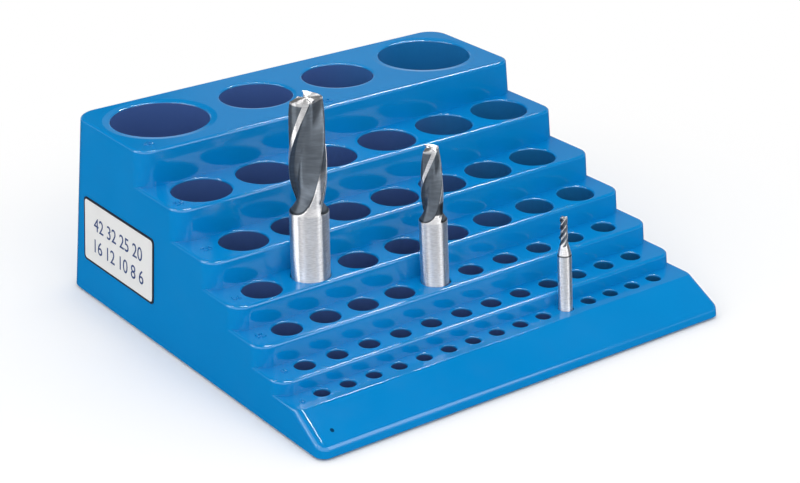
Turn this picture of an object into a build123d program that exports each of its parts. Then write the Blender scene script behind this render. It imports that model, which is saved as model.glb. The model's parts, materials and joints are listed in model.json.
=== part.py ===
from build123d import *
from collections import namedtuple
from math import acos, cos, degrees, radians, sin, tan
import os

# A stepped bench rack that stands end mills upright, shank down, sorted by shank size.
# X runs along the rows, Y points to the back, Z is up.
# The origin is on the table, under the middle of the rack.

os.makedirs("parts", exist_ok=True)

# Casing
side_draft = 4.0  # degrees, on both sides
back_draft = 4.0
riser_draft = 2.0
lip_draft = 4.0
wall = 2.5
deck_thickness = 3.0
back_corner_radius = 10.0
front_corner_radius = 7.0
nose_corner_radius = 4.5
edge_radius = 1.2
nose_side_radius = 3.0
nose_depth = 17.2
lip_height = 3.8

# Rows, from the largest sockets at the back to the smallest at the front
# sizes: shank diameters, left to right
# mouths: width of the countersink round each socket's upper edge
# gap: plastic between neighbouring sockets
# even_gaps: every gap is the same, otherwise every pitch is, set by the largest size
# back_land, front_land: flat plastic behind and in front of the sockets
# rise: how far this deck stands above the next one, and the last one above the casing's rim
# bosses: whether two screw bosses stand beside the row
Row = namedtuple("Row", "sizes mouths gap even_gaps back_land front_land rise bosses")
rows = [
    Row([42, 32, 32, 42], [3.2, 1.6, 1.6, 3.2], 11.3, True, 12.2, 11.1, 15.5, True),
    Row([25] * 6, [1.1] * 6, 6.15, False, 1.5, 3.1, 13.7, False),
    Row([20] * 7, [1.0] * 7, 5.1, False, 1.6, 3.2, 11.6, False),
    Row([16] * 8, [0.9] * 8, 7.25, False, 1.3, 2.5, 9.8, True),
    Row([12] * 5 + [10] * 5, [0.8] * 10, 6.2, False, 1.8, 3.7, 8.9, False),
    Row([8] * 12, [0.7] * 12, 7.3, False, 1.8, 4.8, 5.8, True),
    Row([6] * 15, [0.7] * 15, 6.2, False, 1.6, 4.1, 13.2, False),
]
side_land = 6.1  # flat plastic beside the outermost sockets, where the casing is narrowest for them
socket_clearance = 0.4  # on the diameter
mouth_angle = 6.0  # degrees, of the countersinks below level
mouth_round = 0.6  # where a countersink turns down into its bore
sleeve_wall = 1.4
sleeve_gap = 0.5  # between the sleeves' lower ends and the base plate

# Base plate, with its screws and the bosses that they bite into
foot_standout = 1.0  # the casing's rim above the table
plate_recess = 2.5  # the plate's underside above the rim
plate_thickness = 2.5
plate_clearance = 0.3
boss_diameter = 7.0
boss_inset_back = 14.0
boss_inset_front = 8.5
boss_depth_back = 11.0
screw_diameter = 2.6
screw_length = 9.0
screw_head_diameter = 6.0
screw_head_height = 1.8
screw_head_round = 0.5
screw_slot_width = 0.9
screw_slot_depth = 0.8
screw_clearance = 0.4
pilot_clearance = 0.05
pilot_extra = 1.0

# Rubber feet
foot_diameter = 12.0
foot_round = 0.5
foot_inset_x = 20.0
foot_inset_y = 26.0

# Nameplate on the left side
nameplate_length = 60.0
nameplate_height = 29.0
nameplate_thickness = 0.4
nameplate_corner = 2.0
nameplate_back_offset = 16.0
nameplate_lift = 16.0  # above the rim, along the drafted side

# End mills that stand in the rack, all with right-hand flutes
# row, socket: where it stands, counted from the back and from the left
# shank, cutter: diameters
# body: length of the shank up to where the flutes run out
# neck: height over which the outside changes from the shank to the cutter
# run_out: height over which the flutes reach their full depth
# teeth, land: number of teeth, and the width of each in degrees
# core: diameter left between the flutes, as a share of the cutter
# lead: height of one whole turn of a flute
# facing: direction of the first cutting edge at the top, in degrees from X
# lean: degrees off upright, as far as the socket's slack lets it
EndMill = namedtuple(
    "EndMill", "row socket shank cutter length body neck run_out teeth land core lead facing lean"
)
end_mills = {
    "end_mill_large": EndMill(
        row=3, socket=1, shank=15.9, cutter=15.0, length=108.0, body=60.5, neck=1.0, run_out=9.0,
        teeth=2, land=32.0, core=0.52, lead=108.0, facing=-112.5, lean=0.0,
    ),
    "end_mill_medium": EndMill(
        row=4, socket=4, shank=11.6, cutter=9.0, length=81.0, body=50.0, neck=8.5, run_out=9.0,
        teeth=2, land=32.0, core=0.52, lead=60.0, facing=-92.0, lean=1.7,
    ),
    "end_mill_small": EndMill(
        row=6, socket=10, shank=5.9, cutter=3.1, length=49.0, body=32.4, neck=5.6, run_out=7.0,
        teeth=4, land=30.0, core=0.6, lead=13.5, facing=-90.0, lean=2.6,
    ),
}
lean_heading = 144.0  # degrees from X, the way that the loose end mills lean
shank_chamfer = 0.5
end_clearance = 9.0  # degrees, from each cutting edge at the top down to its heel

# Worked out from the sizes above
rim_z = foot_standout
deck_z = [rim_z + sum(row.rise for row in rows[k:]) for k in range(len(rows))]
treads = [row.back_land + max(row.sizes) + row.front_land for row in rows]
depth = sum(treads) + nose_depth
back_y = depth / 2
front_y = -depth / 2
foot_y = [back_y - sum(treads[: k + 1]) for k in range(len(rows))]
row_y = [y + row.front_land + max(row.sizes) / 2 for y, row in zip(foot_y, rows)]
plate_bottom = rim_z + plate_recess
plate_top = plate_bottom + plate_thickness
sleeve_bottom = plate_top + sleeve_gap
overshoot = 5.0  # how far cutting shapes reach past what they cut
blank_reach = 1.1  # how wide the flutes' section reaches, as a share of the blank's radius
level = 0.2  # an edge that climbs less than this share of its length counts as level
steep = 0.9  # and one that climbs more than this as upright


def slope(angle):
    return tan(radians(angle))


def centres(row):
    """X of each socket of a row, measured from the middle of the rack."""
    if row.even_gaps:
        steps = [(a + b) / 2 + row.gap for a, b in zip(row.sizes, row.sizes[1:])]
    else:
        steps = [max(row.sizes) + row.gap] * (len(row.sizes) - 1)
    return [sum(steps[:i]) - sum(steps) / 2 for i in range(len(row.sizes))]


def half_width_needed(k):
    """The casing's half width at its rim that leaves the side land beside row k."""
    row = rows[k]
    reach = max(abs(x) + size / 2 for x, size in zip(centres(row), row.sizes))
    return reach + side_land + (deck_z[k] - rim_z) * slope(side_draft)


half_width = max(half_width_needed(k) for k in range(len(rows)))


def half_width_at(z):
    return half_width - (z - rim_z) * slope(side_draft)


def back_y_at(z):
    return back_y - (z - rim_z) * slope(back_draft)


def upright_edges(block, rear):
    """The block's rear or front corner edges, which run between its sides and its back or front."""
    middle = block.bounding_box().center().Y
    edges = [e for e in block.edges() if abs((e % 0.5).Z) > steep]
    return [e for e in edges if (e.center().Y > middle) == rear]


def drafted_block(profile, inset, front_radius=front_corner_radius):
    """A block with this outline in Y and Z, between the drafted sides, with rounded corners."""
    zs = [z for _, z in profile]
    low, high = min(zs), max(zs)
    near, far = half_width_at(low) - inset, half_width_at(high) - inset
    across = Polygon((-near, low), (near, low), (far, high), (-far, high), align=None)
    along = Polygon(*profile, align=None)
    block = extrude(Plane.YZ * along, half_width, both=True)
    block &= extrude(Plane.XZ * across, depth, both=True)
    block = fillet(upright_edges(block, True), back_corner_radius - inset)
    return fillet(upright_edges(block, False), front_radius - inset)


def step_profile(k, inset, top, bottom):
    """Outline in Y and Z of all that lies behind the riser of row k."""
    riser = foot_y[k] + inset - deck_z[k + 1] * slope(riser_draft)
    return [
        (back_y_at(bottom) - inset, bottom),
        (back_y_at(top) - inset, top),
        (riser + top * slope(riser_draft), top),
        (riser + bottom * slope(riser_draft), bottom),
    ]


def nose_y_at(z, drop):
    """Y of the front slope at a height, for the slope itself or a surface lowered by drop."""
    lip_y = front_y + lip_height * slope(lip_draft)
    rise = deck_z[-1] - rim_z - lip_height
    return lip_y + (z + drop - rim_z - lip_height) * (foot_y[-1] - lip_y) / rise


def nose_profile(inset, drop, bottom):
    """Outline in Y and Z of the front row's deck with the slope and lip before it."""
    top = deck_z[-1] - drop
    lip_y = front_y + lip_height * slope(lip_draft) + inset
    rise = (deck_z[-1] - rim_z - lip_height) / (foot_y[-1] - lip_y + inset)
    lip_top = rim_z + lip_height - drop + inset * rise
    return [
        (back_y_at(bottom) - inset, bottom),
        (back_y_at(top) - inset, top),
        (nose_y_at(top, drop), top),
        (lip_y, lip_top),
        (lip_y - (lip_top - bottom) * slope(lip_draft), bottom),
    ]


def nose_block(inset, drop, bottom):
    """The lowest deck with the slope and lip before it."""
    return drafted_block(nose_profile(inset, drop, bottom), inset, nose_corner_radius)


def outer_block(k):
    """The casing's outside up to deck k, taken as solid, with its upper edges rounded."""
    if k == len(rows) - 1:
        block = nose_block(0, 0, rim_z)
        slanted = [e for e in block.edges() if level < abs((e % 0.5).Z) < steep]
        block = fillet(slanted, nose_side_radius)
    else:
        block = drafted_block(step_profile(k, 0, deck_z[k], rim_z), 0)
    upper = [e for e in block.edges() if e.center().Z > rim_z + lip_height / 2]
    upper = [e for e in upper if abs((e % 0.5).Z) < level]
    return fillet(upper, edge_radius)


def inner_block(k):
    """The hollow under deck k, open below."""
    bottom = rim_z - overshoot
    if k == len(rows) - 1:
        return nose_block(wall, deck_thickness, bottom)
    return drafted_block(step_profile(k, wall, deck_z[k] - deck_thickness, bottom), wall)


def between(front, back):
    """A tall slab across the whole width, from one Y to another."""
    height = deck_z[0] + 2 * overshoot
    middle = (front + back) / 2
    return Pos(0, middle, height / 2 - overshoot) * Box(2 * half_width, back - front, height)


def upright_rod(x, y, radius, low, high):
    return Pos(x, y, (low + high) / 2) * Cylinder(radius, high - low)


def socket_cutter(x, y, radius, mouth, deck):
    """The space of one socket: a bore with a countersunk mouth."""
    low, high, turn = plate_top - overshoot, deck + overshoot, deck - mouth * slope(mouth_angle)
    half_section = Polygon(
        (0, low), (radius, low), (radius, turn), (radius + mouth, deck), (radius + mouth, high), (0, high),
        align=None,
    )
    inner_edge = half_section.vertices().sort_by_distance((radius, turn, 0))[0]
    half_section = fillet(inner_edge, mouth_round)
    return Pos(x, y, 0) * revolve(Plane.XZ * half_section, Axis.Z)


def boss_places(k):
    """The two screw bosses beside row k, or none."""
    if not rows[k].bosses:
        return []
    at_back = k == 0
    x = half_width - (boss_inset_back if at_back else boss_inset_front)
    y = back_y - boss_depth_back if at_back else foot_y[k] + treads[k] / 2
    return [(-x, y), (x, y)]


def casing_step(k):
    """One step of the casing: its deck, its riser, the side walls beside it, its sleeves and bosses."""
    row, deck = rows[k], deck_z[k]
    slab = between(foot_y[k], foot_y[k - 1] if k else back_y + overshoot)
    outside, hollow = outer_block(k), inner_block(k)
    if k < len(rows) - 1:
        outside += outer_block(k + 1)
        hollow += inner_block(k + 1)
    step = (outside - hollow) & slab
    inside_deck = deck - deck_thickness / 2
    radii = [(size + socket_clearance) / 2 for size in row.sizes]
    sockets = list(zip(centres(row), radii, row.mouths))
    for x, radius, _ in sockets:
        step += upright_rod(x, row_y[k], radius + sleeve_wall, sleeve_bottom, inside_deck) & slab
    for x, y in boss_places(k):
        step += upright_rod(x, y, boss_diameter / 2, plate_top, inside_deck)
    for x, radius, mouth in sockets:
        step -= socket_cutter(x, row_y[k], radius, mouth, deck)
    pilot_top = plate_bottom + screw_length + pilot_extra
    for x, y in boss_places(k):
        step -= upright_rod(x, y, screw_diameter / 2 + pilot_clearance, plate_bottom, pilot_top)
    return step


def casing_nose():
    """The front slope and the lip below it."""
    shell = outer_block(len(rows) - 1) - inner_block(len(rows) - 1)
    return shell & between(front_y - overshoot, foot_y[-1])


def screw_places():
    return [place for k in range(len(rows)) for place in boss_places(k)]


def base_plate():
    """The plate that closes the casing from below and that the shanks stand on."""
    bottom = rim_z - overshoot
    room = offset(nose_block(wall, deck_thickness, bottom), -plate_clearance)
    height = plate_top - plate_bottom
    plate = room & (Pos(0, 0, plate_bottom + height / 2) * Box(2 * half_width, depth, height))
    for x, y in screw_places():
        plate -= upright_rod(x, y, screw_diameter / 2 + screw_clearance, rim_z, plate_top + overshoot)
    return plate


def base_screw(x, y):
    """A slotted pan-head screw, driven up through the plate into its boss."""
    head = upright_rod(x, y, screw_head_diameter / 2, plate_bottom - screw_head_height, plate_bottom)
    head = fillet(head.edges().group_by(Axis.Z)[0], screw_head_round)
    slot = Box(2 * screw_head_diameter, screw_slot_width, 2 * screw_slot_depth)
    head -= Pos(x, y, plate_bottom - screw_head_height) * slot
    low, high = plate_bottom - screw_head_height / 4, plate_bottom + screw_length
    shank = upright_rod(x, y, screw_diameter / 2, low, high)
    return head + chamfer(shank.edges().group_by(Axis.Z)[-1], screw_diameter / 4)


def foot(side_x, side_y):
    """A round rubber foot under one corner of the base plate."""
    x = side_x * (half_width - foot_inset_x)
    y = side_y * (depth / 2 - foot_inset_y)
    disc = upright_rod(x, y, foot_diameter / 2, 0, plate_bottom)
    return fillet(disc.edges().group_by(Axis.Z)[0], foot_round)


def nameplate():
    """A thin plate with rounded corners, flat on the drafted left side."""
    lean = radians(side_draft)
    low = Vector(-half_width, back_y - nameplate_back_offset - nameplate_length / 2, rim_z)
    face = Plane(low, x_dir=(0, -1, 0), z_dir=(-1, 0, tan(lean)))
    outline = RectangleRounded(nameplate_length, nameplate_height, nameplate_corner)
    return extrude(face * Pos(0, nameplate_lift + nameplate_height / 2) * outline, nameplate_thickness)


def polar(radius, angle):
    return Vector(radius * cos(radians(angle)), radius * sin(radians(angle)))


def fluted_section(tool, reach):
    """Cross-section between the flutes, with its teeth carried out to a radius of reach.

    Each flute has a straight face below the cutting edge, a round floor and a flat back up to the next heel.
    """
    core, edge = tool.core * tool.cutter / 2, tool.cutter / 2
    spacing = 360 / tool.teeth
    back = degrees(acos(core / edge))
    beyond = degrees(acos(core / reach)) - back
    outline = []
    for tooth in range(tool.teeth):
        start = tooth * spacing
        heel, tip = start + beyond, start + tool.land
        floor_end = start + spacing - back
        outline += [
            Edge.make_three_point_arc(polar(reach, heel), polar(reach, (heel + tip) / 2), polar(reach, tip)),
            Edge.make_line(polar(reach, tip), polar(core, tip)),
            Edge.make_three_point_arc(polar(core, tip), polar(core, (tip + floor_end) / 2),
                                      polar(core, floor_end)),
            Edge.make_line(polar(core, floor_end), polar(reach, heel + spacing)),
        ]
    return Face(Wire(outline))


def turned(*outline):
    """A solid of revolution from its outline, given as radius and height."""
    return revolve(Plane.XZ * Polygon(*outline, align=None), Axis.Z)


def place_of(tool):
    """Where the end mill stands: on the base plate, leaning across the middle of its socket."""
    lean, heading = radians(tool.lean), radians(lean_heading)
    rest = plate_top + (tool.shank / 2 - shank_chamfer) * sin(lean)
    back_off = ((sleeve_bottom + deck_z[tool.row]) / 2 - rest) * tan(lean)
    x = centres(rows[tool.row])[tool.socket] - back_off * cos(heading)
    y = row_y[tool.row] - back_off * sin(heading)
    return Pos(x, y, rest) * Rot(0, 0, lean_heading) * Rot(0, tool.lean, 0) * Rot(0, 0, -lean_heading)


def end_mill(tool):
    """An end mill standing on its shank, cutting end up."""
    shank, edge, core = tool.shank / 2, tool.cutter / 2, tool.core * tool.cutter / 2
    foot = [(0, 0), (shank - shank_chamfer, 0), (shank, shank_chamfer), (shank, tool.body)]
    blank = turned(*foot, (edge, tool.body + tool.neck), (edge, tool.length), (0, tool.length))
    unfluted = turned(*foot, (core, tool.body + tool.run_out), (0, tool.body + tool.run_out))
    height = tool.length - tool.body
    twist = 360 * height / tool.lead
    section = fluted_section(tool, blank_reach * max(shank, edge))
    fluted = Solid.extrude_linear_with_rotation(section, (0, 0, 0), (0, 0, height), twist)
    fluted = Pos(0, 0, tool.body) * Rot(0, 0, tool.facing - tool.land - twist) * fluted
    mill = unfluted + (blank & fluted)
    size = 2 * tool.cutter
    for tooth in range(tool.teeth):
        before = size if tool.teeth == 2 else 0
        wedge = Pos((size - before) / 2, -size / 2, size / 2) * Box(size + before, size, size)
        turn = Rot(0, 0, tool.facing + tooth * 360 / tool.teeth) * Rot(end_clearance, 0, 0)
        mill -= Pos(0, 0, tool.length) * turn * wedge
    return place_of(tool) * mill


def write(name, shape):
    shape.label = name
    export_step(shape, f"parts/{name}.step")


for k in range(len(rows)):
    write(f"casing_step_{k + 1}", casing_step(k))
write("casing_nose", casing_nose())
write("base_plate", base_plate())
write("base_screws", Compound(children=[base_screw(x, y) for x, y in screw_places()]))
for corner, side_x, side_y in (
    ("back_left", -1, 1), ("back_right", 1, 1), ("front_left", -1, -1), ("front_right", 1, -1),
):
    write(f"foot_{corner}", foot(side_x, side_y))
write("nameplate", nameplate())
for name, tool in end_mills.items():
    write(name, end_mill(tool))
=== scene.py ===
import bmesh
import bpy
import json
import math
from mathutils import Matrix, Vector


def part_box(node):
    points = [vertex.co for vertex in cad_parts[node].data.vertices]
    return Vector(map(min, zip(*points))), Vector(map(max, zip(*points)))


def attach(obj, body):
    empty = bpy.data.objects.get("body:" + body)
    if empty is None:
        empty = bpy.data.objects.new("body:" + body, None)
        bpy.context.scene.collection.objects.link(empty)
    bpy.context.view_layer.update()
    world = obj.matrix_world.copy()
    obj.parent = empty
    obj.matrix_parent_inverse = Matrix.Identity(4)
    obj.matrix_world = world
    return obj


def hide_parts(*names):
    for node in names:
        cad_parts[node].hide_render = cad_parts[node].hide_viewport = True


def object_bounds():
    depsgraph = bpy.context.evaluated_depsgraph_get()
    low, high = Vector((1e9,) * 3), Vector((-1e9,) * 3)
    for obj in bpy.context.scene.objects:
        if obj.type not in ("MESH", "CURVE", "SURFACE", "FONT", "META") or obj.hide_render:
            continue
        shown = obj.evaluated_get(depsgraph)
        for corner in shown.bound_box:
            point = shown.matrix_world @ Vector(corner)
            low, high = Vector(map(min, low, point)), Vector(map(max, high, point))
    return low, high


# Bench rack for end mills. Metres, X along the rows, Y to the back, Z up from the table.
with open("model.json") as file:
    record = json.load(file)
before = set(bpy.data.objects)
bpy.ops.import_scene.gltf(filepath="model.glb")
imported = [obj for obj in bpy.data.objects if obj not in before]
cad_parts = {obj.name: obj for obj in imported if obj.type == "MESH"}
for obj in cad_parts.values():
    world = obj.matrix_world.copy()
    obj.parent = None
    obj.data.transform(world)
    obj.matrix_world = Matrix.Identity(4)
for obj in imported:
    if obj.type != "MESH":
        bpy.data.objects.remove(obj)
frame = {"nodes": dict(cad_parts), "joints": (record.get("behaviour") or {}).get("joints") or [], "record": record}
cadLow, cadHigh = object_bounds()
mm = 0.001
print("frame loaded")

view = {
    "place": (-454.15, -636.69, 375.26),   # mm
    "azimuth": -35.918,                    # degrees
    "elevation": 23.999,
    "roll": -0.501,
    "lens": 89.6,                          # mm on a 36 mm sensor
}


def cameraAxes():
    azimuth, elevation, roll = (math.radians(view[k]) for k in ("azimuth", "elevation", "roll"))
    level = Vector((-math.sin(azimuth), math.cos(azimuth), 0))
    ahead = level * math.cos(elevation) - Vector((0, 0, math.sin(elevation)))
    right = ahead.cross(Vector((0, 0, 1))).normalized()
    up = right.cross(ahead)
    turnedRight = right * math.cos(roll) + up * math.sin(roll)
    turnedUp = up * math.cos(roll) - right * math.sin(roll)
    return turnedRight, turnedUp, ahead, level


def makeCamera():
    right, up, ahead, _ = cameraAxes()
    data = bpy.data.cameras.new("camera")
    data.sensor_width = 36
    data.lens = view["lens"]
    data.clip_start, data.clip_end = 0.01, 20
    camera = bpy.data.objects.new("camera", data)
    turn = Matrix((right, up, -ahead)).transposed().to_4x4()
    camera.matrix_world = Matrix.Translation(Vector(view["place"]) * mm) @ turn
    bpy.context.scene.collection.objects.link(camera)
    bpy.context.scene.camera = camera


makeCamera()
print("camera set")


# A material under construction: its nodes are made and joined by short calls
class Mixer:
    def __init__(self, name):
        self.material = bpy.data.materials.new(name)
        self.material.use_nodes = True
        self.nodes = self.material.node_tree.nodes
        self.links = self.material.node_tree.links
        self.shader = self.nodes["Principled BSDF"]
        self.place = self.nodes.new("ShaderNodeTexCoord").outputs["Object"]

    def put(self, value, socket):
        if isinstance(value, bpy.types.NodeSocket):
            self.links.new(value, socket)
        else:
            socket.default_value = value

    def math(self, operation, a, b=0.0, c=0.0):
        node = self.nodes.new("ShaderNodeMath")
        node.operation = operation
        for value, socket in zip((a, b, c), node.inputs):
            self.put(value, socket)
        return node.outputs[0]

    def hypotenuse(self, a, b):
        return self.math("SQRT", self.math("ADD", self.math("MULTIPLY", a, a), self.math("MULTIPLY", b, b)))

    def vector(self, operation, a, b=(0, 0, 0), out=0):
        node = self.nodes.new("ShaderNodeVectorMath")
        node.operation = operation
        self.put(a, node.inputs[0])
        self.put(b, node.inputs[1])
        return node.outputs[out]

    def split(self, a):
        node = self.nodes.new("ShaderNodeSeparateXYZ")
        self.links.new(a, node.inputs[0])
        return node.outputs

    def noise(self, scale, detail=3.0, stretch=None):
        place = self.place
        if stretch:
            place = self.vector("MULTIPLY", place, stretch)
        node = self.nodes.new("ShaderNodeTexNoise")
        self.put(place, node.inputs["Vector"])
        node.inputs["Scale"].default_value = scale
        node.inputs["Detail"].default_value = detail
        return node.outputs["Fac"]

    def ramp(self, value, low, high, out0=0.0, out1=1.0):
        node = self.nodes.new("ShaderNodeMapRange")
        node.interpolation_type = "SMOOTHSTEP"
        names = ("Value", "From Min", "From Max", "To Min", "To Max")
        for key, number in zip(names, (value, low, high, out0, out1)):
            self.put(number, node.inputs[key])
        return node.outputs["Result"]

    def cloud(self, scale, detail, low, high):
        return self.ramp(self.noise(scale, detail), low, high)

    def mix(self, share, a, b):
        node = self.nodes.new("ShaderNodeMix")
        node.data_type = "RGBA"
        self.put(share, node.inputs[0])
        for value, socket in ((a, node.inputs[6]), (b, node.inputs[7])):
            self.put(value if isinstance(value, bpy.types.NodeSocket) else (*value, 1), socket)
        return node.outputs[2]

    def bump(self, height, depth, after=None):
        node = self.nodes.new("ShaderNodeBump")
        node.inputs["Distance"].default_value = depth
        node.inputs["Strength"].default_value = 1.0
        self.put(height, node.inputs["Height"])
        if after:
            self.links.new(after, node.inputs["Normal"])
        return node.outputs["Normal"]

    def set(self, **values):
        names = {
            "colour": "Base Color", "roughness": "Roughness", "normal": "Normal", "metallic": "Metallic",
            "ior": "IOR", "anisotropic": "Anisotropic", "turn": "Anisotropic Rotation",
            "specular": "Specular IOR Level",
        }
        for key, value in values.items():
            if isinstance(value, tuple):
                value = (*value, 1)
            self.put(value, self.shader.inputs[names[key]])
        return self.material


def shaded(colour, factor):
    return tuple(c * factor for c in colour)


# The moulding: glossy blue, a little wavy, with painted shade down in the sockets: darker violet-blue walls
casing = {
    "blue": (0.0003, 0.225, 0.575),
    "bluePale": (0.002, 0.242, 0.605),
    "paintedShade": (0.062, 0.125, 0.345),          # painted shade down in the sockets, on the left
    "paintedShadeRight": (0.016, 0.19, 0.46),       # and on the right
    "paintedShadeRows": (1.05, 0.9, 0.78, 0.8, 0.7, 0.65, 0.6),   # strength of the painted shade row by row, darker towards the front
    "cloud": (14.0, 4.0, 0.35, 0.7),     # noise between the two blues: per metre, detail, from, to
    "smear": (60.0, 4.0, 0.3, 0.75),     # and of the roughness
    "roughness": (0.0675, 0.135),
    "ior": 1.5,
    "waves": (26.0, 1.5, 0.00003),       # per metre, detail, metres high
    "peel": (420.0, 2.0, 0.0000022),
    "mouthDepth": (0.5, 1.1),      # mm below the deck where the painted shade on a socket's wall fades in
    "markPlace": (-93.0, -93.8),   # mm, a small dark spot on the front slope, at the moulding's gate
    "markSize": 0.9,
    "markEdge": (0.7, 1.1),        # from dark to blue, in mark sizes
    "markColour": (0.0, 0.04, 0.12),
    "aroundSockets": 0.3,          # mm that the painted shade's mask reaches past the sockets
    "paintedShadeTurn": (15.0, 75.0),    # mm from the middle, from the left painted shade to the right one
}


def rowOf(k):
    low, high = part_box(f"casing_step_{k}")
    mounts = [m for m in frame["record"]["mounts"] if f"_row_{k}_" in m["name"]]
    radius = max(m["dims"]["r_mm"] for m in mounts)
    reach = max(abs(m["pos_m"][0]) for m in mounts) + radius * mm
    return {
        "deck": high[2], "low": low[2], "front": low[1],
        "y": mounts[0]["pos_m"][1], "radius": radius * mm, "reach": reach,
    }


rows = {k: rowOf(k) for k in range(1, 8)}


def casingPlastic(name, k=None, mark=False):
    m = Mixer(name)
    x, y, z = m.split(m.place)[:3]
    colour = m.mix(m.cloud(*casing["cloud"]), casing["blue"], casing["bluePale"])
    # Painted shade: below each socket's mouth the wall turns a darker violet-blue, bluer to the right and darker
    # row by row towards the front
    if k:
        row = rows[k]
        around = casing["aroundSockets"] * mm
        fromRow = m.math("ABSOLUTE", m.math("SUBTRACT", y, row["y"]))
        beside = m.math("LESS_THAN", fromRow, row["radius"] + around)
        within = m.math("LESS_THAN", m.math("ABSOLUTE", x), row["reach"] + around)
        below = m.ramp(z, *(row["deck"] - depth * mm for depth in reversed(casing["mouthDepth"])), 1, 0)
        paintedShadeMask = m.math("MULTIPLY", m.math("MULTIPLY", beside, within), below)
        shade = casing["paintedShadeRows"][k - 1]
        across = m.ramp(x, *(edge * mm for edge in casing["paintedShadeTurn"]))
        paintedShade = m.mix(across, shaded(casing["paintedShade"], shade), shaded(casing["paintedShadeRight"], shade))
        colour = m.mix(paintedShadeMask, colour, paintedShade)
    if mark:
        size = casing["markSize"] * mm
        offX, offY = (m.math("SUBTRACT", a, b * mm) for a, b in zip((x, y), casing["markPlace"]))
        away = m.hypotenuse(offX, offY)
        dark = m.ramp(away, *(size * edge for edge in casing["markEdge"]), 1, 0)
        colour = m.mix(dark, colour, casing["markColour"])
    waves = m.bump(m.noise(*casing["waves"][:2]), casing["waves"][2])
    peel = m.bump(m.noise(*casing["peel"][:2]), casing["peel"][2], waves)
    scale, detail, low, high = casing["smear"]
    rough = m.ramp(m.noise(scale, detail), low, high, *casing["roughness"])
    return m.set(colour=colour, roughness=rough, normal=peel, ior=casing["ior"])


def dress(node, material):
    data = frame["nodes"][node].data
    data.materials.clear()
    data.materials.append(material)


for k in rows:
    dress(f"casing_step_{k}", casingPlastic(f"casingPlastic{k}", k))
dress("casing_nose", casingPlastic("casingPlasticNose", mark=True))

# Base plate, screws and feet, all under the rack
under = {
    "plateBlue": (0.012, 0.065, 0.16),
    "platePale": 1.25,                   # how much paler its clouds are
    "plateCloud": (25.0, 3.0, 0.3, 0.7),
    "plateGrain": (900.0, 0.00003),      # per metre, metres high
    "plateRoughness": 0.55,
    "zinc": (0.62, 0.62, 0.64),
    "zincDull": (0.5, 0.5, 0.47),
    "zincCloud": (500.0, 4.0, 0.3, 0.7),
    "zincRoughness": (0.32, 0.47),
    "rubber": (0.022, 0.022, 0.023),
    "rubberPale": 2,
    "rubberCloud": (300.0, 4.0),
    "rubberGrain": (1500.0, 0.00004),
    "rubberRoughness": 0.8,
}


def plateMaterial():
    m = Mixer("basePlatePlastic")
    pale = shaded(under["plateBlue"], under["platePale"])
    colour = m.mix(m.cloud(*under["plateCloud"]), under["plateBlue"], pale)
    scale, depth = under["plateGrain"]
    return m.set(colour=colour, roughness=under["plateRoughness"], normal=m.bump(m.noise(scale), depth))


def zincMaterial():
    m = Mixer("zincPlate")
    cloud = m.cloud(*under["zincCloud"])
    colour = m.mix(cloud, under["zinc"], under["zincDull"])
    rough = m.ramp(cloud, 0, 1, *under["zincRoughness"])
    return m.set(colour=colour, roughness=rough, metallic=1.0)


def rubberMaterial():
    m = Mixer("footRubber")
    pale = shaded(under["rubber"], under["rubberPale"])
    colour = m.mix(m.noise(*under["rubberCloud"]), under["rubber"], pale)
    scale, depth = under["rubberGrain"]
    return m.set(colour=colour, roughness=under["rubberRoughness"], normal=m.bump(m.noise(scale), depth))


dress("base_plate", plateMaterial())
dress("base_screws", zincMaterial())
rubber = rubberMaterial()
for corner in ("back_left", "back_right", "front_left", "front_right"):
    dress(f"foot_{corner}", rubber)
print("casing, base and feet finished")

# Nameplate: white card with a printed dark border
nameplate = {
    "card": (0.83, 0.83, 0.82),
    "ink": (0.02, 0.02, 0.03),
    "border": 0.9,       # mm
    "innerCorner": 1.6,  # mm
    "inkEdge": 0.06,     # mm, half the soft edge of the print
    "cloud": (80.0, 4.0, 0.3, 0.8),
    "cloudDark": 0.96,
    "grain": (700.0, 0.00001),
    "roughness": 0.35,
}


def nameplateMaterial():
    m = Mixer("nameplateCard")
    low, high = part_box("nameplate")
    middle = [(a + b) / 2 for a, b in zip(low, high)]
    corner = nameplate["innerCorner"] * mm
    halves = [(b - a) / 2 - nameplate["border"] * mm - corner for a, b in zip(low, high)]
    _, y, z = m.split(m.vector("SUBTRACT", m.place, tuple(middle)))[:3]
    outY = m.math("MAXIMUM", m.math("SUBTRACT", m.math("ABSOLUTE", y), halves[1]), 0.0)
    outZ = m.math("MAXIMUM", m.math("SUBTRACT", m.math("ABSOLUTE", z), halves[2]), 0.0)
    away = m.hypotenuse(outY, outZ)
    edge = nameplate["inkEdge"] * mm
    inked = m.ramp(away, corner - edge, corner + edge)
    dark = shaded(nameplate["card"], nameplate["cloudDark"])
    card = m.mix(m.cloud(*nameplate["cloud"]), nameplate["card"], dark)
    colour = m.mix(inked, card, nameplate["ink"])
    scale, depth = nameplate["grain"]
    return m.set(colour=colour, roughness=nameplate["roughness"], normal=m.bump(m.noise(scale), depth))


dress("nameplate", nameplateMaterial())

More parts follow.
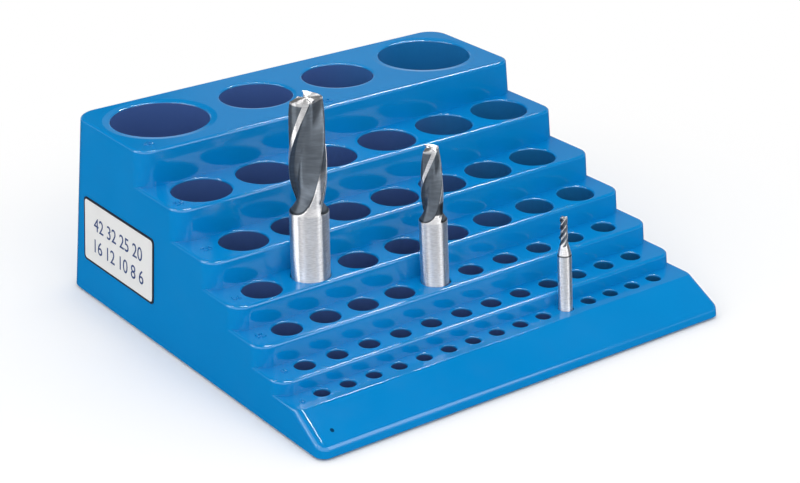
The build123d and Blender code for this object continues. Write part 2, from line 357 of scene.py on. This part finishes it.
# Plain numbers: the socket sizes, raised on the decks and printed on the nameplate
numbers = {
    "height": 2.9,        # mm, raised ones
    "rise": 0.45,
    "raised": {           # size: step, mm from the deck's left side and from its front edge
        42: (1, 8.0, 8.7), 25: (2, 5.4, 8.6), 20: (3, 7.4, 14.6), 16: (4, 5.8, 9.4), 12: (5, 6.6, 10.3),
        8: (6, 7.8, 9.0), 6: (7, 6.0, 5.6), 32: (1, 95.8, 6.8),
    },
    "printed": (          # words, height, top above the middle
        ("42 32 25 20", 6.0, 7.5), ("16 12 10 8 6", 6.0, -2.5),
    ),
    "sideDraft": 4.0,     # degrees, of the casing's left side
    "capitals": 0.69,     # height of a digit as a share of the font's size
    "bevel": 0.08,        # the raised ones' rounded edge, at most
    "printThickness": 0.06,
    "printLift": 0.02,    # from the plate to the middle of the print
    "printInk": (0.01, 0.04, 0.16),
    "printPale": 1.4,     # how much paler its grain is
    "printGrain": 400.0,  # per metre
    "printRoughness": 0.4,
}


def wordsMesh(name, words, height, thickness):
    curve = bpy.data.curves.new(name, "FONT")
    curve.body = words
    curve.size = height / numbers["capitals"]
    curve.align_x = "CENTER"
    curve.extrude = thickness / 2
    curve.bevel_depth = min(thickness / 4, numbers["bevel"] * mm)
    curve.bevel_resolution = 1
    holder = bpy.data.objects.new(name + "Curve", curve)
    bpy.context.scene.collection.objects.link(holder)
    bpy.context.view_layer.update()
    mesh = bpy.data.meshes.new_from_object(holder.evaluated_get(bpy.context.evaluated_depsgraph_get()))
    bpy.data.objects.remove(holder)
    bpy.data.curves.remove(curve)
    return mesh


def addPiece(name, mesh, body, material, matrix):
    mesh.materials.clear()
    mesh.materials.append(material)
    mesh.transform(matrix)
    piece = bpy.data.objects.new(name, mesh)
    bpy.context.scene.collection.objects.link(piece)
    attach(piece, body)
    return piece


def raiseNumbers():
    plastic = casingPlastic("numberPlastic")
    draft = math.tan(math.radians(numbers["sideDraft"]))
    for size, (k, fromLeft, fromFront) in numbers["raised"].items():
        name = f"raisedNumber{size}"
        deck = rows[k]["deck"]
        side = cadLow[0] + (deck - rows[k]["low"]) * draft
        mesh = wordsMesh(name, str(size), numbers["height"] * mm, numbers["rise"] * 2 * mm)
        foot = rows[k]["front"] + (fromFront - numbers["height"] / 2) * mm
        place = Matrix.Translation((side + fromLeft * mm, foot, deck))
        addPiece(name, mesh, "rack", plastic, place)


raiseNumbers()


def printNumbers():
    m = Mixer("printedInk")
    pale = shaded(numbers["printInk"], numbers["printPale"])
    colour = m.mix(m.noise(numbers["printGrain"]), numbers["printInk"], pale)
    ink = m.set(colour=colour, roughness=numbers["printRoughness"])
    plate = frame["nodes"]["nameplate"].data
    faces = [f for f in plate.polygons if f.normal.x < -0.9]
    out = sum((f.normal * f.area for f in faces), Vector()).normalized()
    low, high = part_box("nameplate")
    middle = (Vector(low) + Vector(high)) / 2
    middle += out * (out.dot(faces[0].center) - out.dot(middle))
    along = Vector((0, -1, 0))
    up = out.cross(along)
    for n, (words, height, top) in enumerate(numbers["printed"]):
        mesh = wordsMesh(f"printed{n}", words, height * mm, numbers["printThickness"] * mm)
        spot = middle + up * (top - height) * mm + out * numbers["printLift"] * mm
        matrix = Matrix.Translation(spot) @ Matrix((along, up, out)).transposed().to_4x4()
        addPiece(f"printedNumbers{n + 1}", mesh, "rack", ink, matrix)


printNumbers()
print("nameplate and numbers made")

# End mills: ground shanks, bright margins, and grey gullets that run out in rounded ends
steel = {
    "ground": (0.97, 0.95, 0.945),
    "gullet": (0.125, 0.145, 0.17),
    "groundRoughness": 0.41,
    "gulletRoughness": 0.48,
    "gulletMetal": 0.72,
    "anisotropic": 1.0,      # grinding marks run round the shank, so lights smear along it
    "anisotropicTurn": 0.25,
    "endSlope": 9.0,         # degrees, from each end edge down to its heel
    "chamfer": 0.5,
    "bodyEdge": 0.1,         # mm, half the height over which the shank's finish ends
    "gash": (50.0, 0.5),     # notch ahead of each end edge: degrees across, depth as a share of the radius
    "flutesFoot": (0.4, 0.35),   # round foot of each rake face: height and width, as shares of the flute's
    "sharpFrom": 32.0,       # degrees between faces from which an edge stays sharp
    "toothPoints": (6, 4, 18, 16),         # along its back, its margin, the flute's floor and its rise
    "rings": (36, 90),       # up the flutes' foot and above it
    "capRings": (0.9, 0.75, 0.6, 0.45, 0.3, 0.15),
    "weld": 0.003,           # mm
    "relievedFrom": 1.6,     # in run-outs above the cone
    "gulletEdge": (0.04, 0.28),            # mm below the blank, on a 15 mm cutter
    # Painted shade: a dark line along the flutes' edges and, on the small one, round the foot of its cone
    "rimEdge": (0.03, 0.12, 0.5, 0.9),     # the painted shade's dark line round the flutes: from none to full, and back
    "rimFades": (0.7, 1.2, 0.2),           # upwards, in run-outs, to this strength
    "rim": (0.02, 0.024, 0.032),
    "rimStrength": 0.8,
    "endFrom": (1.6, 0.4),   # mm below the tip: a part that grows with the cutter, and one that doesn't
    "endTo": (1.2, 0.2),
    "endBright": 0.75,                     # how much of the gullets' grey is gone there
    "grind": (500.0, 500.0, 2600.0),       # marks per metre, across and along
    "grindDark": 0.8,
    "grindDepth": 0.000004,                # metres
    "grindRoughness": (0.06, -0.04),       # added
    "streaks": (160.0, 160.0, 900.0),
    "streakPale": 1.35,
    "exitRound": 1.4,        # 1 runs the flutes out in a wide curve, more squares their ends
}
# Sizes in mm and degrees. The large one's neck, the small one's runOut and the first two lands differ
# from the part's, which has no margin, widening, relief, cone or ring
# margin: the bright strip behind each cutting edge; relief: how far the rest of the tooth lies below it
# widening: how wide the teeth are against land, above the run-out and at the top
# cone: height below the flutes that stays whole; ring: half height of a dark line of painted shade at its foot,
# standing in for a groove
# core: diameter left between the flutes, as a share of the cutter; lead: height of a flute's whole turn
# facing: direction of the first cutting edge at the top
mills = {
    "end_mill_large": {
        "body": 60.5, "shank": 15.9, "cutter": 15.0, "neck": 3.5, "runOut": 9.0, "length": 108.0,
        "teeth": 2, "land": 52.0, "margin": 13.0, "widening": (0.85, 1.4), "relief": 0.45,
        "core": 0.52, "lead": 108.0, "facing": -112.5,
    },
    "end_mill_medium": {
        "body": 50.0, "shank": 11.6, "cutter": 9.0, "neck": 8.5, "runOut": 9.0, "length": 81.0,
        "teeth": 2, "land": 48.0, "margin": 16.0, "widening": (0.8, 1.6), "relief": 0.3,
        "core": 0.52, "lead": 60.0, "facing": -92.0,
    },
    "end_mill_small": {
        "body": 32.4, "shank": 5.9, "cutter": 3.1, "neck": 5.6, "runOut": 3.5, "length": 49.0,
        "teeth": 4, "land": 30.0, "margin": 14.0, "widening": (1.0, 1.0), "relief": 0.08,
        "core": 0.6, "lead": 13.5, "facing": -90.0, "cone": 4.0, "ring": 0.45,
    },
}


def millAxis(name):
    joint = [j for j in frame["joints"] if j["child"] == name + "_body"][0]
    return Vector(joint["axis"]).normalized()


def millFoot(name, axis):
    vertices = [v.co.copy() for v in frame["nodes"][name].data.vertices]
    lowest = min(v.dot(axis) for v in vertices)
    low = [v for v in vertices if v.dot(axis) < lowest + 0.02 * mm]
    return sum(low, Vector()) / len(low)


# One tooth and the flute beside it, as radius and angle from the heel on
def toothOutline(size):
    edge, core = size["cutter"] / 2, size["core"] * size["cutter"] / 2
    spacing, back = 360 / size["teeth"], math.degrees(math.acos(size["core"]))
    stepAt, edgeAt, floorEnd = size["land"] - size["margin"], size["land"], spacing - back
    low = edge - size["relief"]
    foot, footShare = (edge - core) * steel["flutesFoot"][0], steel["flutesFoot"][1]
    onBack, onMargin, onFloor, onRise = steel["toothPoints"]
    points = [(low, stepAt * n / onBack) for n in range(onBack + 1)]
    points += [(edge, stepAt + size["margin"] * n / onMargin) for n in range(onMargin + 1)]
    points += [(edge + (core + foot - edge) * n / 3, edgeAt) for n in (1, 2)]
    for n in range(onFloor + 1):
        share = n / onFloor
        rise = foot * max(0, 1 - share / footShare) ** 2
        points.append((core + rise, edgeAt + (floorEnd - edgeAt) * share))
    for n in range(1, onRise):
        turn = back * n / onRise
        points.append((min(core / math.cos(math.radians(turn)), low), floorEnd + turn))
    return points


# A closed skin through rings of as many points each, with a point in the middle of each end
def skinRings(name, rings, foot, tip):
    count = len(rings[0])
    points = [p for ring in rings for p in ring] + [foot, tip]
    top = count * (len(rings) - 1)
    faces = []
    for start in range(0, top, count):
        for n in range(count):
            after = (n + 1) % count
            faces.append((start + n, start + after, start + count + after, start + count + n))
    faces += [((n + 1) % count, n, len(points) - 2) for n in range(count)]
    faces += [(top + n, top + (n + 1) % count, len(points) - 1) for n in range(count)]
    mesh = bpy.data.meshes.new(name)
    mesh.from_pydata([Vector(p) * mm for p in points], [], faces)
    shape = bmesh.new()
    shape.from_mesh(mesh)
    bmesh.ops.remove_doubles(shape, verts=shape.verts, dist=steel["weld"] * mm)
    shape.to_mesh(mesh)
    shape.free()
    mesh.shade_smooth()
    mesh.set_sharp_from_angle(angle=math.radians(steel["sharpFrom"]))
    return mesh


def millMesh(name):
    size = mills[name]
    body, length, chamfer = size["body"], size["length"], steel["chamfer"]
    wide, edge, core = size["shank"] / 2, size["cutter"] / 2, size["core"] * size["cutter"] / 2
    spacing, fall = 360 / size["teeth"], math.tan(math.radians(steel["endSlope"]))
    outline = [(r, a + t * spacing) for t in range(size["teeth"]) for r, a in toothOutline(size)]
    across = [(r, a + size["facing"] - size["land"]) for r, a in outline]   # at the top
    stepAt, exitRound = size["land"] - size["margin"], steel["exitRound"]
    gashAcross, gashDeep = steel["gash"]

    def endHeight(radius, angle):
        behind = (size["facing"] - angle) % spacing
        gash = 0
        if size["teeth"] == 2:
            gash = max(0, 1 - (spacing - behind) / gashAcross) * gashDeep * min(radius, core)
        return length - radius * math.sin(math.radians(behind)) * fall - gash

    # The angle of a point of the outline where the teeth are wider or narrower than at the land's own size
    def widened(angle, widening):
        tooth, angle = divmod(angle, spacing)
        land = size["land"]
        if angle <= land:
            turned = land - (land - angle) * widening
        else:
            turned = land + (angle - land) * (spacing - land * widening) / (spacing - land)
        return tooth * spacing + turned

    def spot(radius, angle, z):
        return radius * math.cos(math.radians(angle)), radius * math.sin(math.radians(angle)), z

    def blank(z):
        share = min(max((z - body) / size["neck"], 0), 1)
        return wide + (edge - wide) * share

    turnAt = 360 / size["lead"]
    shank = ((wide - chamfer, 0), (wide, chamfer), (wide, body / 2), (wide, body - steel["bodyEdge"]))
    rings = [[spot(radius, a - turnAt * (length - body), z) for _, a in across] for radius, z in shank]
    runOut, cone = size["runOut"], size.get("cone", 0)
    fluted = cone + runOut
    low, high = steel["rings"]
    heights = [fluted * n / low for n in range(low)]
    heights += [fluted + (length - body - fluted) * n / high for n in range(high + 1)]
    for height in heights:
        ring = []
        share = min(max((height - fluted) / (length - body - fluted), 0), 1)
        widening = size["widening"][0] + (size["widening"][1] - size["widening"][0]) * share
        relieved = min(max((height - cone - steel["relievedFrom"] * runOut) / runOut, 0), 1)
        for (radius, angle), (_, within) in zip(across, outline):
            z = body + (endHeight(radius, angle) - body) * height / (length - body)
            lift = (blank(body + cone) - core) * max(0, 1 - (z - body - cone) / runOut) ** 2
            if within % spacing < stepAt:
                radius = edge - (edge - radius) * relieved
            radius = core + ((radius - core) ** exitRound + lift ** exitRound) ** (1 / exitRound)
            turned = widened(within, widening) + angle - within - turnAt * (length - z)
            ring.append(spot(min(blank(z), radius), turned, z))
        rings.append(ring)
    atTop = [(r, widened(w, size["widening"][1]) + a - w) for (r, a), (_, w) in zip(across, outline)]
    for share in steel["capRings"]:
        rings.append([spot(r * share, a, endHeight(r * share, a)) for r, a in atTop])
    return skinRings(name + "Ground", rings, (0, 0, 0), (0, 0, length))


# 1 down in the flutes, and 1 on the painted shade: a dark line round them
def fluteMasks(m, size, height, radius):
    body, neck, runOut = (size[key] * mm for key in ("body", "neck", "runOut"))
    scale = size["cutter"] / mills["end_mill_large"]["cutter"]
    upNeck = m.math("DIVIDE", m.math("SUBTRACT", height, body), neck)
    upNeck = m.math("MINIMUM", m.math("MAXIMUM", upNeck, 0.0), 1.0)
    narrowing = (size["cutter"] - size["shank"]) / 2 * mm
    outside = m.math("MULTIPLY_ADD", upNeck, narrowing, size["shank"] / 2 * mm)
    depth = m.math("SUBTRACT", outside, radius)
    edge = steel["bodyEdge"] * mm
    above = m.ramp(height, body - edge, body + edge)
    gulletEdge, rimEdge = (tuple(d * mm * scale for d in steel[key]) for key in ("gulletEdge", "rimEdge"))
    gullet = m.math("MULTIPLY", m.ramp(depth, *gulletEdge), above)
    rim = m.math("MULTIPLY", m.ramp(depth, *rimEdge[:2]), m.ramp(depth, *rimEdge[2:], 1, 0))
    fadeFrom, fadeTo, left = steel["rimFades"]
    low = m.ramp(height, body + fadeFrom * runOut, body + fadeTo * runOut, 1, left)
    rim = m.math("MULTIPLY", m.math("MULTIPLY", rim, above), low)
    endFrom, endTo = (size["length"] - a * scale - b for a, b in (steel["endFrom"], steel["endTo"]))
    end = m.ramp(height, endFrom * mm, endTo * mm)   # the end faces are ground bright too
    gullet = m.math("MULTIPLY", gullet, m.math("SUBTRACT", 1.0, m.math("MULTIPLY", end, steel["endBright"])))
    rim = m.math("MULTIPLY", rim, m.math("SUBTRACT", 1.0, end))
    # painted shade of a groove: a dark line round the foot of the small one's cone
    if "ring" in size:
        offRing = m.math("ABSOLUTE", m.math("SUBTRACT", height, body))
        rim = m.math("MAXIMUM", rim, m.ramp(offRing, size["ring"] * 0.5 * mm, size["ring"] * mm, 1, 0))
    return gullet, rim


def toolSteel(name):
    m = Mixer(name + "Steel")
    axis = millAxis(name)
    fromFoot = m.vector("SUBTRACT", m.place, tuple(millFoot(name, axis)))
    height = m.vector("DOT_PRODUCT", fromFoot, tuple(axis), out=1)
    radius = m.vector("LENGTH", m.vector("CROSS_PRODUCT", fromFoot, tuple(axis)), out=1)
    gullet, rim = fluteMasks(m, mills[name], height, radius)
    grain = m.noise(1.0, 5.0, stretch=steel["grind"])
    shade = m.ramp(grain, 0.3, 0.7)
    ground = m.mix(shade, shaded(steel["ground"], steel["grindDark"]), steel["ground"])
    streak = m.ramp(m.noise(1.0, 4.0, stretch=steel["streaks"]), 0.3, 0.75)
    hollow = m.mix(streak, steel["gullet"], shaded(steel["gullet"], steel["streakPale"]))
    colour = m.mix(gullet, ground, hollow)
    # painted shade: the dark line round the flutes
    colour = m.mix(m.math("MULTIPLY", rim, steel["rimStrength"]), colour, steel["rim"])
    rough = m.ramp(gullet, 0, 1, steel["groundRoughness"], steel["gulletRoughness"])
    rough = m.math("ADD", rough, m.ramp(shade, 0, 1, *steel["grindRoughness"]))
    normal = m.bump(m.math("MULTIPLY", grain, m.ramp(gullet, 0, 1, 1, 0)), steel["grindDepth"])
    tangent = m.nodes.new("ShaderNodeTangent")
    tangent.direction_type, tangent.axis = "RADIAL", "Z"
    m.links.new(tangent.outputs[0], m.shader.inputs["Tangent"])
    return m.set(colour=colour, roughness=rough, metallic=m.ramp(gullet, 0, 1, 1.0, steel["gulletMetal"]),
                 normal=normal, anisotropic=steel["anisotropic"], turn=steel["anisotropicTurn"])


def makeMill(name):
    axis = millAxis(name)
    turn = Vector((0, 0, 1)).rotation_difference(axis).to_matrix().to_4x4()
    place = Matrix.Translation(millFoot(name, axis)) @ turn
    piece = addPiece(name + "Ground", millMesh(name), name + "_body", toolSteel(name), place)
    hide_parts(name)


for name in mills:
    makeMill(name)
print("end mills finished")

# Floor: pale, keeps the rack's shadow, and fades to plain white farther off
floorValues = {
    "reach": 3.0,                        # metres
    "pale": (0.94, 0.94, 0.94),
    "inGloss": (0.035, 0.05, 0.06),      # its colour in reflections
    "fade": (0.17, 0.30),                # metres from the middle, from pale to plain white
    "roughness": 0.9,
}


def makeFloor():
    m = Mixer("floorPale")
    light = m.nodes.new("ShaderNodeLightPath").outputs
    x, y, _ = m.split(m.place)[:3]
    away = m.hypotenuse(x, y)
    far = m.ramp(away, *floorValues["fade"])
    seen = m.math("MAXIMUM", light["Is Camera Ray"], light["Is Transmission Ray"])
    colour = m.mix(light["Is Glossy Ray"], floorValues["pale"], floorValues["inGloss"])
    m.set(colour=colour, roughness=floorValues["roughness"], specular=0.0)
    glow = m.nodes.new("ShaderNodeEmission")
    glow.inputs["Strength"].default_value = 1.0
    both = m.nodes.new("ShaderNodeMixShader")
    m.links.new(m.math("MULTIPLY", far, seen), both.inputs[0])
    m.links.new(m.shader.outputs[0], both.inputs[1])
    m.links.new(glow.outputs[0], both.inputs[2])
    m.links.new(both.outputs[0], m.nodes["Material Output"].inputs["Surface"])
    reach = floorValues["reach"]
    mesh = bpy.data.meshes.new("floor")
    mesh.from_pydata([(-reach, -reach, 0), (reach, -reach, 0), (reach, reach, 0), (-reach, reach, 0)], [],
                     [(0, 1, 2, 3)])
    mesh.materials.append(m.material)
    floor = bpy.data.objects.new("floor", mesh)
    bpy.context.scene.collection.objects.link(floor)


makeFloor()

# Studio: white behind and an even fill
# In reflections: a bright horizon, a pale backdrop, a glow in front and a dark ceiling
studio = {
    "fill": 0.88,
    "horizon": (0.8, 0.02),           # strength in reflections low down and high up
    "horizonRise": (0.08, 0.30),      # from one to the other, as sines of the elevation
    "backdrop": 0.24,                 # strength behind the rack; its left edge, near side and top follow
    "backdropEdge": (-0.14, -0.09),
    "backdropSide": (0.0, 0.4),
    "backdropRise": (0.38, 0.6),
    "frontGlow": 2.1,                 # on the camera's side, for the shanks
    "frontRight": (0.55, 0.8),        # where it ends on the right
    "frontSide": (-0.3, 0.1),         # and towards the back
    "frontFoot": (0.0, 0.1),
    "frontRise": (0.7, 0.85),
    "frontGap": (-60.0, 0.03, 0.1),   # a dark upright line in it: degrees from the camera, half widths
    "gapGlow": 0.1,                   # what is left of the glow there
}


def makeWorld():
    world = bpy.data.worlds.new("studio")
    bpy.context.scene.world = world
    world.use_nodes = True
    nodes, links = world.node_tree.nodes, world.node_tree.links
    light = nodes.new("ShaderNodeLightPath").outputs
    direction = nodes.new("ShaderNodeTexCoord").outputs["Generated"]

    def step(operation, *values):
        node = nodes.new("ShaderNodeMath")
        node.operation = operation
        for value, socket in zip(values, node.inputs):
            if isinstance(value, bpy.types.NodeSocket):
                links.new(value, socket)
            else:
                socket.default_value = value
        return node.outputs[0]

    def along(axis):
        node = nodes.new("ShaderNodeVectorMath")
        node.operation = "DOT_PRODUCT"
        links.new(direction, node.inputs[0])
        node.inputs[1].default_value = axis
        return node.outputs["Value"]

    def ramp(value, edges, ends):
        node = nodes.new("ShaderNodeMapRange")
        node.interpolation_type = "SMOOTHSTEP"
        links.new(value, node.inputs["Value"])
        for key, number in zip(("From Min", "From Max", "To Min", "To Max"), (*edges, *ends)):
            node.inputs[key].default_value = number
        return node.outputs["Result"]

    level = cameraAxes()[3]
    right = Vector((level.y, -level.x, 0))
    rise = along((0, 0, 1))
    horizon = ramp(rise, studio["horizonRise"], studio["horizon"])
    toBack, toRight = along(level), along(right)
    behind = step("MULTIPLY", ramp(toBack, studio["backdropSide"], (0, 1)),
                  ramp(toRight, studio["backdropEdge"], (0, 1)))
    backdrop = step("MULTIPLY", behind, ramp(rise, studio["backdropRise"], (studio["backdrop"], 0)))
    front = step("MULTIPLY", ramp(toBack, studio["frontSide"], (studio["frontGlow"], 0)),
                 ramp(toRight, studio["frontRight"], (1, 0)))
    front = step("MULTIPLY", front, ramp(rise, studio["frontFoot"], (0, 1)))
    front = step("MULTIPLY", front, ramp(rise, studio["frontRise"], (1, 0)))
    gapTurn = math.radians(studio["frontGap"][0])
    beside = step("ABSOLUTE", along(right * math.cos(gapTurn) + level * math.sin(gapTurn)))
    front = step("MULTIPLY", front, ramp(beside, studio["frontGap"][1:], (studio["gapGlow"], 1)))
    seen = step("MAXIMUM", light["Is Camera Ray"], light["Is Transmission Ray"])
    gloss = light["Is Glossy Ray"]
    rest = step("MAXIMUM", step("SUBTRACT", step("SUBTRACT", 1.0, seen), gloss), 0.0)
    mirrored = step("MAXIMUM", front, step("MAXIMUM", horizon, backdrop))
    strength = step("ADD", seen, step("MULTIPLY", gloss, mirrored))
    strength = step("ADD", strength, step("MULTIPLY", rest, studio["fill"]))
    nodes["Background"].inputs["Color"].default_value = (1, 1, 1, 1)
    links.new(strength, nodes["Background"].inputs["Strength"])


makeWorld()

# Lamps round the rack: degrees to the right of straight ahead and above level, metres away,
# metres across and along, radiance. Three small bright ones and two strips show in reflections only
lamps = {
    "softbox": {"turn": 60.5, "rise": 84.1, "size": (0.34, 0.16), "radiance": 48.0, "diffuse": False},
    "edgeLight": {"turn": 21.0, "rise": 50.2, "size": (0.26, 0.10), "radiance": 60.0, "diffuse": False},
    "spark": {"turn": -70.6, "rise": 59.2, "size": (0.10, 0.10), "radiance": 30.0, "diffuse": False},
    "key": {"turn": -14.0, "rise": 76.0, "size": (0.6, 0.4), "radiance": 1.5, "glossy": False},
    "frontFill": {"turn": 152.0, "rise": 35.0, "far": 1.0, "size": (0.5, 0.4), "radiance": 1.9,
                  "glossy": False},
    "leftFill": {"turn": -137.0, "rise": 33.0, "size": (0.35, 0.35), "radiance": 1.75},
    "leftStrip": {"turn": -98.0, "rise": 28.0, "size": (0.5, 0.5), "radiance": 5.0, "diffuse": False},
    "rightStrip": {"turn": 120.0, "rise": 30.0, "size": (0.4, 0.6), "radiance": 4.0, "diffuse": False},
}
rig = {
    "far": 0.9,          # metres, where a lamp gives no other
    "aim": (0, 0, 0.04),
    "steepFrom": 50,     # degrees, from where a lamp's width follows the camera's right
}


def makeLamps():
    level = cameraAxes()[3]
    right = Vector((level.y, -level.x, 0))
    aim = Vector(rig["aim"])
    for name, lamp in lamps.items():
        turn, rise = math.radians(lamp["turn"]), math.radians(lamp["rise"])
        heading = level * math.cos(turn) + right * math.sin(turn)
        away = heading * math.cos(rise) + Vector((0, 0, math.sin(rise)))
        steep = lamp["rise"] > rig["steepFrom"]
        across = right if steep else Vector((0, 0, 1)).cross(away)
        across = (across - away * across.dot(away)).normalized()
        data = bpy.data.lights.new(name, "AREA")
        data.shape = "RECTANGLE"
        data.size, data.size_y = lamp["size"]
        data.energy = lamp["radiance"] * math.pi * data.size * data.size_y
        light = bpy.data.objects.new(name, data)
        turned = Matrix((across, away.cross(across), away)).transposed().to_4x4()
        light.matrix_world = Matrix.Translation(aim + away * lamp.get("far", rig["far"])) @ turned
        light.visible_diffuse = lamp.get("diffuse", True)
        light.visible_glossy = lamp.get("glossy", True)
        bpy.context.scene.collection.objects.link(light)


makeLamps()
bpy.context.scene.view_settings.view_transform = "Standard"
print("studio set")
